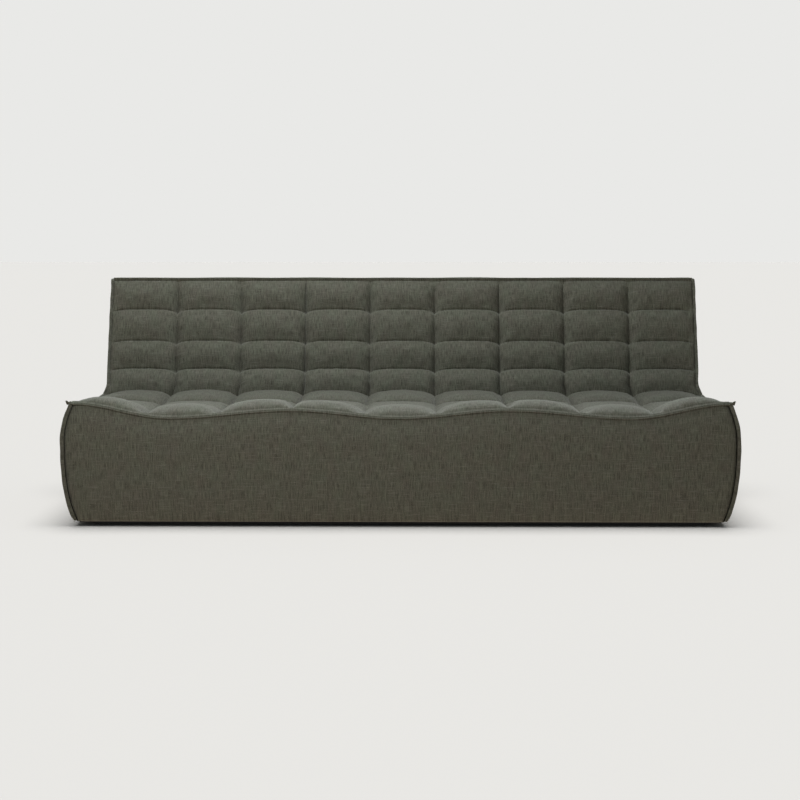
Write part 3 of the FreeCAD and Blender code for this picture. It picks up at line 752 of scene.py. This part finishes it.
def rising(foot_share, foot_steps, steps):
    """Shares from 0 to 1 up a cover, closer together at its foot."""
    foot = np.linspace(0, foot_share, foot_steps)[:-1]
    return np.concatenate([foot, np.linspace(foot_share, 1, steps)])[:, None]


def outer_turn(x, z):
    """How far a cover has turned in beside the ring of a side."""
    return edge_turn * np.exp((np.abs(x) + panel_inset(z) - side_half(z)) / edge_turn_width)


def with_hem(x, f, z, hem_start, hem_end):
    """Grid of a cover with its hem under it, which runs in f from hem_start to hem_end."""
    hem_f = np.linspace(hem_start, hem_end, hem_rows + 1)[:-1, None]
    return (np.concatenate([np.repeat(x[:1], hem_rows, axis=0), x]),
            np.concatenate([np.repeat(hem_f, x.shape[1], axis=1), f]),
            np.concatenate([np.full((hem_rows, x.shape[1]), floor_gap), z]))


def add_cover(name, outer, inner, faces, material, nodes):
    """Cover with its padding, between an outer sheet and an inner one."""
    piece = closed_pad(name, outer, inner, faces)
    dress(piece, material, nodes)


def make_fronts():
    across = edge_spread(int(seat_width / cell))
    up = rising(*front_steps)
    pad_back = frame_front - pad_clearance
    for seat, name in enumerate(seat_names):
        middle = -panel_half + (seat + across) * seat_width
        top = seat_edge_height + edge_lift(middle) - front_drop
        z = floor_gap + (top - floor_gap) * up
        left, right = seat_reach(seat, z)
        x = left + (right - left) * across + 0 * z
        drag = waviness(front_waves, x, z) * np.sin(np.pi * up)
        f = front_face(z, top) + seam_dip(x) + outer_turn(x, z) + drag
        x, f, z = with_hem(x, f, z, front_line + hem_width, front_line + foot_radius)
        inner_f = np.minimum(np.where(z > frame_bottom, pad_back, f + hem_thickness), pad_back)
        inner_f[:hem_rows] = f[:hem_rows]
        inner = metres(x, inner_f, np.maximum(z, frame_bottom - hem_clearance))
        points = metres(x, f, z)
        nodes = ["front_cover_" + name] + (["front_pad"] if name == "centre" else [])
        add_cover("front_fascia_" + name, points, inner, grid_faces(points), weave, nodes)


def make_rears():
    across = edge_spread(int(seat_width / cell))
    up = rising(*rear_steps)
    for seat, name in enumerate(seat_names):
        z = floor_gap + (rear_top[1] - floor_gap) * up + 0 * across
        left, right = seat_reach(seat, z)
        x = left + (right - left) * across + 0 * z
        drag = waviness(rear_waves, x, z) * np.sin(np.pi * up)
        f = rear_face(z) - seam_dip(x) - outer_turn(x, z) + drag
        hemmed = with_hem(x, f, z, rear_foot_line - hem_width, rear_foot_line - foot_radius)
        x, f, z = (grid[:, ::-1] for grid in hemmed)
        inner_f = f - np.where(z > frame_bottom, rear_pad, 0)
        inner = metres(x, inner_f, np.maximum(z, frame_bottom - hem_clearance))
        points = metres(x, f, z)
        nodes = ["rear_cover_" + name] + (["rear_wadding"] if name == "centre" else [])
        add_cover("rear_cover_cloth_" + name, points, inner, grid_faces(points), weave, nodes)


def make_top():
    across = np.linspace(-1, 1, int(2 * panel_half / cell) + 1)[None, :]
    depth = np.linspace(0, 1, top_rows)[:, None]
    x = across * cover_half
    f = top_seams[0] + (top_seams[1] - top_seams[0]) * depth + 0 * x
    crest = top_crown + waviness(top_waves, x, f)
    z = top_line + top_seam_rise + crest * np.sin(np.pi * depth) ** top_squareness
    points = metres(x, f, z)
    inner = metres(x, f, top_line - top_pad_depth)
    add_cover("top_of_back", points, inner, grid_faces(points), weave, ["top_cover", "top_pad"])


def side_corners():
    """Sewn edge of a side in (f, z), from its front foot over the seat and back to its rear foot."""
    up = np.linspace(floor_gap + ring_foot, corner_height, side_edge_steps)
    down = np.linspace(top_line, floor_gap + ring_foot, side_edge_steps)
    over = [*range(1, seat_rows + 2), rows]
    f = np.concatenate([front_face(up, corner_height), end_f[over], rear_face(down)])
    z = np.concatenate([up, end_z[over], down])
    return np.stack([f, z], axis=-1)


def outline_distance(f, z):
    """Distance from a point of a side to the nearest sewn edge round it, the foot left out."""
    edge = side_corners()
    nearest = np.full(f.shape, np.inf)
    for (f0, z0), (f1, z1) in zip(edge, edge[1:]):
        share = ((f - f0) * (f1 - f0) + (z - z0) * (z1 - z0)) / ((f1 - f0) ** 2 + (z1 - z0) ** 2)
        share = np.clip(share, 0, 1)
        nearest = np.minimum(nearest, np.hypot(f - f0 - (f1 - f0) * share, z - z0 - (z1 - z0) * share))
    return nearest


def side_grids():
    """Two grids of points of a side in (f, z): under the seat, then the part that rises behind it."""
    low = rising(*side_foot_steps, int((knee[1] - floor_gap) / cell))
    back = np.linspace(0, 1, int(knee[0] / cell))[None, :]
    seat = slice(seat_rows + 1)
    top = np.interp(front_line + (knee[0] - front_line) * back[0], end_f[seat], end_z[seat])
    seat_z = floor_gap + (top - floor_gap) * low
    start = front_face(seat_z, corner_height)
    seat_f = start + (knee[0] - start) * back
    rise = np.linspace(0, 1, side_back_steps[0])[1:]
    upper_z = knee[1] + (top_line - knee[1]) * rise
    seam_line = np.interp(upper_z, end_z[seat_rows:], end_f[seat_rows:])
    column_z = np.concatenate([seat_z[:, -1], upper_z])[:, None]
    column_start = np.concatenate([np.full(len(low), knee[0]), seam_line])[:, None]
    behind = np.linspace(0, 1, side_back_steps[1])[None, :]
    column_f = column_start + (rear_face(column_z) - column_start) * behind
    seat_part = np.stack([seat_f, seat_z], axis=-1)
    back_part = np.stack([column_f, column_z + 0 * column_f], axis=-1)
    return seat_part, back_part


def join_grids(first, second):
    """Points and quads of two grids that share the last column of the first."""
    first_count = first.shape[0] * first.shape[1]
    numbers = np.arange(first_count).reshape(first.shape[:2])
    other = np.arange(second.shape[0] * (second.shape[1] - 1)).reshape(second.shape[0], -1) + first_count
    extra = second.shape[0] - first.shape[0]
    edge_column = np.concatenate([numbers[:, -1], first_count + other.size + np.arange(extra)])
    table = np.concatenate([edge_column[:, None], other], axis=1)
    points = np.concatenate([first.reshape(-1, 2), second[:, 1:].reshape(-1, 2), second[first.shape[0]:, 0]])
    return points, table_faces(numbers) + table_faces(table)


def make_sides():
    points, quads = join_grids(*side_grids())
    f, z = points[:, 0], points[:, 1]
    distance = outline_distance(f, z)
    soft = edge_drop * np.exp(-distance / edge_soft)
    drag = waviness(side_waves, f, z) * (1 - soft / edge_drop)
    x = side_half(z) - side_clearance - soft - foot_roll(z) + drag
    thick = np.clip((distance - side_margin) / side_margin_ramp, 0, 1)
    inner_x = (x - cover_thickness) * (1 - thick) + (gable_face + pad_clearance) * thick
    for name, way in (("left", -1), ("right", 1)):
        faces = quads if way > 0 else [face[::-1] for face in quads]
        inner = metres(way * inner_x, f, np.maximum(z, floor_gap + side_hem))
        nodes = ["side_cover_" + name, "side_pad_" + name]
        add_cover("padded_side_" + name, metres(way * x, f, z), inner, faces, side_weave, nodes)


# Flanges: two layers of cloth turned out along each edge and stitched through

stitch_points = []
stitch_faces = []


def unit(vectors):
    return vectors / np.linalg.norm(vectors, axis=-1, keepdims=True)


def run_lengths(path):
    """Length along a path up to each of its points."""
    return np.concatenate([[0], np.cumsum(np.linalg.norm(np.diff(path, axis=0), axis=1))])


def at_lengths(spots, runs, vectors):
    """Points or directions at other lengths along a path."""
    return np.stack([np.interp(spots, runs, line) for line in vectors.T], axis=-1)


def resample(path, step):
    """Points every step along a path."""
    runs = run_lengths(path)
    return at_lengths(np.linspace(0, runs[-1], int(runs[-1] / step) + 1), runs, path)


def smoothed(vectors):
    """Vectors along a path, each averaged with its neighbours."""
    kernel = np.ones(heading_window) / heading_window
    padded = [np.pad(line, heading_window // 2, mode="edge") for line in vectors.T]
    return np.stack([np.convolve(line, kernel, mode="valid") for line in padded], axis=-1)


def tube_faces(length, count):
    """Quads round a closed section of count points at each of length places, and the two ends."""
    faces = []
    for i in range(length - 1):
        for k in range(count):
            n = (k + 1) % count
            faces.append([i * count + k, (i + 1) * count + k, (i + 1) * count + n, i * count + n])
    faces.append(list(range(count)))
    faces.append([(length - 1) * count + k for k in reversed(range(count))])
    return faces


def sewn_flange(name, path, out, nodes, material, seed, breadth=1.0):
    """Flange swept along a path of (x, f, z), standing out in the given directions."""
    tangent = unit(np.gradient(path, axis=0))
    out = unit(out - tangent * np.sum(out * tangent, axis=1, keepdims=True))
    face = np.cross(tangent, out)
    travel = run_lengths(path)
    sway = flange_sway * ripple(travel, 0 * travel, flange_sway_length, seed)[:, None]
    section = list(flange_section) + [(reach, -half) for reach, half in reversed(flange_section)]
    rings = [path + out * breadth * reach + face * (half + sway * max(0.0, reach) / flange_reach)
             for reach, half in section]
    points = np.stack(rings, axis=1)
    faces = tube_faces(len(path), len(section))
    piece = mesh_object(name, metres(*np.moveaxis(points, -1, 0)), faces)
    dress(piece, material, nodes)
    add_stitches(path, out, face)


def add_stitches(path, out, face):
    """Small stitches along the groove of a flange, on both faces."""
    spots = resample(path, stitch_pitch)
    runs = run_lengths(path)
    at = np.linspace(0, runs[-1], len(spots))
    sides, ups = (at_lengths(at, runs, directions) for directions in (out, face))
    along = unit(np.gradient(spots, axis=0))
    for turn in (1, -1):
        middle = spots + sides * stitch_line + turn * ups * stitch_height
        for centre, way, side, up in zip(middle, along, sides, ups):
            add_stitch(centre, way, side, up)


def add_stitch(centre, way, side, up):
    """One stitch along way, with square ends that taper."""
    first = len(stitch_points)
    for share, thick in stitch_profile:
        spot = centre + way * share * stitch_length
        for across, lift in stitch_square:
            stitch_points.append(spot + (side * across + up * lift) * thick * stitch_width / 2)
    for quad in tube_faces(len(stitch_profile), len(stitch_square)):
        stitch_faces.append([first + corner for corner in quad])


def with_ears(path, out):
    """Path and directions of the front flange, with a small ear turned up at each outer corner."""
    steps = np.linspace(0, 1, ear_steps)[1:, None]
    directions = np.tile(np.array(out), (len(path), 1))
    for way in (1, -1):
        bend = steps * np.array([way * ear_reach, 0, 0]) + steps ** 2 * np.array([0, ear_back, ear_rise])
        turned = (1 - steps) * np.array(out) + steps * np.array([way * ear_out[0], *ear_out[1:]])
        path = np.concatenate([path, path[-1] + bend])[::-1]
        directions = np.concatenate([directions, turned])[::-1]
    return path, directions


def make_long_flanges():
    """Flanges from side to side: on the front seam and along both edges of the top."""
    x = np.linspace(-cover_half, cover_half, int(2 * cover_half / flange_step))
    level = np.zeros(len(x))
    front_x = x * (side_half(corner_height) - edge_inset) / cover_half
    front_z = seat_edge_height + edge_lift(front_x) + flange_rise
    front = np.stack([front_x, level + front_line + front_flange_depth, front_z], axis=-1)
    sewn_flange("front_seam_flange", *with_ears(front, front_flange_out), ["front_flange"], weave,
                front_flange_seed, front_flange_breadth)
    rear_seam = (rear_top[0] - back_flange_depth, rear_top[1] + flange_rise)
    edges = (("top", "front", down_back(0, back_flange_depth), top_flange_out, top_flange_seed),
             ("rear", "rear", rear_seam, rear_flange_out, rear_flange_seed))
    for name, edge, (f, z), out, seed in edges:
        path = np.stack([x, level + f, level + z], axis=-1)
        directions = np.tile(out, (len(x), 1))
        sewn_flange(name + "_seam_flange", path, directions, ["top_" + edge + "_flange"], weave, seed)


def make_side_flanges():
    """Rings round the two sides."""
    f, z = resample(side_corners(), ring_step).T
    half = side_half(z) - by_height(z, ring_roots) - foot_roll(z)
    foot_levels = (floor_gap + ring_foot, floor_gap + ring_full)
    breadth = by_height(z, ring_breadths) * np.interp(z, foot_levels, ring_foot_breadths)
    forward = by_height(z, ring_forward)[:, None]
    for name, way in (("left", -1), ("right", 1)):
        path = np.stack([way * half, f, z], axis=-1)
        heading = unit(smoothed(np.gradient(path, axis=0)))
        outward = unit(np.stack([0 * heading[:, 0], -heading[:, 2], heading[:, 1]], axis=-1))
        out = forward * outward + np.sqrt(1 - forward ** 2) * np.array([way, 0.0, 0.0])
        sewn_flange("side_seam_flange_" + name, path, out, ["side_flange_" + name], side_weave,
                    side_flange_seed, breadth[:, None])


def make_stitches():
    stitches = mesh_object("flange_stitches", metres(*np.array(stitch_points).T), stitch_faces)
    dress(stitches, thread, [])


def make_dust_cloth():
    reach = half_width - bottom_inset - hem_width / 2
    front = front_line + hem_width / 4
    rear = rear_foot_line - hem_width / 4
    x = np.linspace(-reach, reach, dust_cells[0])[None, :]
    f = np.linspace(rear, front, dust_cells[1])[:, None]
    inside_x = np.clip((dust_free_half - np.abs(x)) / dust_free_half, 0, 1)
    inside_f = np.clip(np.minimum(f - dust_free_front, dust_free_rear - f) / dust_free_fade, 0, 1)
    sag = dust_sag * np.sqrt(inside_x) * np.sqrt(inside_f)
    low = metres(x, f, floor_gap - dust_thickness - sag)
    high = metres(x, f, floor_gap - dust_gap - sag)
    piece = closed_pad("dust_cloth", low, high, grid_faces(low))
    dress(piece, spunbond, ["dust_cover"])


make_panels()
make_fronts()
make_rears()
make_top()
make_sides()
make_long_flanges()
make_side_flanges()
make_stitches()
make_dust_cloth()


# Floor, light and camera: metres and degrees, watts for a softbox and watts per square metre for a sun

floor_half = 60.0
floor_colour = "#b5b3b0"
backdrop_colour = "#e9e9e7"
room_colours = ("#cfc1b6", "#7d8487")  # warm light from the floor, dim grey light from the room above
horizon = (-0.15, 0.05)  # upward part of a direction where one passes into the other
key_power = 22.0
key_size = 1.2
key_place = (-0.7, -2.0, 1.9)
key_aim = (-0.2, 0.0, 0.3)
top_power = 33.0
top_size = 0.7
top_place = (-0.4, -0.15, 2.6)
behind_power = 2.5
behind_angle = 30.0
behind_turns = (-46.0, -5.0, 0.0)
floor_power = 4.88
floor_angle = 50.0
white = "#ffffff"
cool_white = "#f3f8ff"
camera_sensor = 36.0  # sensor and lens in millimetres
camera_lens = 76.3
camera_place = (0.062, -5.615, 0.887)
camera_tilt = 5.42
camera_turn = 0.68


def make_floor():
    """Pale matt studio floor that runs out of sight."""
    corners = [(floor_half * x, floor_half * y, 0) for x, y in ((-1, -1), (1, -1), (1, 1), (-1, 1))]
    floor = mesh_object("studio_floor", corners, [[0, 1, 2, 3]])
    material, _, shader = new_material("matt_studio_floor")
    shader.inputs["Base Color"].default_value = linear(floor_colour)
    shader.inputs["Roughness"].default_value = 1.0
    shader.inputs["Specular IOR Level"].default_value = 0.0
    floor.data.materials.append(material)
    floor.visible_diffuse = False
    floor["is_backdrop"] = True
    return floor


def make_room():
    """Even light from all round, and a plain backdrop that only the camera sees."""
    world = bpy.data.worlds.new("studio")
    bpy.context.scene.world = world
    world.use_nodes = True
    tree = world.node_tree
    tree.nodes.clear()
    below, above = room_colours
    place = node(tree, "TexCoord", {}, {})["Generated"]
    upward = node(tree, "SeparateXYZ", {}, {0: place})[2]
    smooth = {"interpolation_type": "SMOOTHSTEP"}
    rise = node(tree, "MapRange", smooth, {0: upward, 1: horizon[0], 2: horizon[1]})[0]
    room = node(tree, "Mix", {"data_type": "RGBA"}, {0: rise, 6: linear(below), 7: linear(above)})[2]
    room_light = node(tree, "Background", {}, {0: room, 1: 1.0})[0]
    backdrop = node(tree, "Background", {}, {0: linear(backdrop_colour), 1: 1.0})[0]
    seen = node(tree, "LightPath", {}, {})["Is Camera Ray"]
    both = node(tree, "MixShader", {}, {0: seen, 1: room_light, 2: backdrop})[0]
    node(tree, "OutputWorld", {}, {"Surface": both})


def add_light(name, kind, energy, colour, lit):
    """Light that falls on the given objects only."""
    made = bpy.data.objects.new(name, bpy.data.lights.new(name, kind))
    made.data.energy = energy
    made.data.color = linear(colour)[:3]
    bpy.context.scene.collection.objects.link(made)
    receivers = bpy.data.collections.new("lit_by_" + name)
    for piece in lit:
        receivers.objects.link(piece)
    made.light_linking.receiver_collection = receivers
    return made


def make_light(floor):
    """Soft light on the sofa from the front left, above and behind, and on the floor from above."""
    key = add_light("left_softbox", "AREA", key_power, white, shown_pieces())
    key.data.size = key_size
    key.location = key_place
    key.rotation_euler = (Vector(key_aim) - key.location).to_track_quat("-Z", "Y").to_euler()
    top = add_light("top_softbox", "AREA", top_power, cool_white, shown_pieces())
    top.data.size = top_size
    top.location = top_place
    behind = add_light("rear_overhead_softbox", "SUN", behind_power, cool_white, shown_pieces())
    behind.data.angle = math.radians(behind_angle)
    behind.rotation_euler = [math.radians(turn) for turn in behind_turns]
    ceiling = add_light("floor_softbox", "SUN", floor_power, white, [floor])
    ceiling.data.angle = math.radians(floor_angle)


def make_camera():
    camera = bpy.data.cameras.new("camera")
    camera.sensor_width = camera_sensor
    camera.lens = camera_lens
    made = bpy.data.objects.new("camera", camera)
    made.location = camera_place
    made.rotation_euler = (math.radians(90 - camera_tilt), 0, math.radians(camera_turn))
    bpy.context.scene.collection.objects.link(made)
    bpy.context.scene.camera = made


floor = make_floor()
make_room()
make_light(floor)
make_camera()
bpy.context.scene.view_settings.view_transform = "Standard"
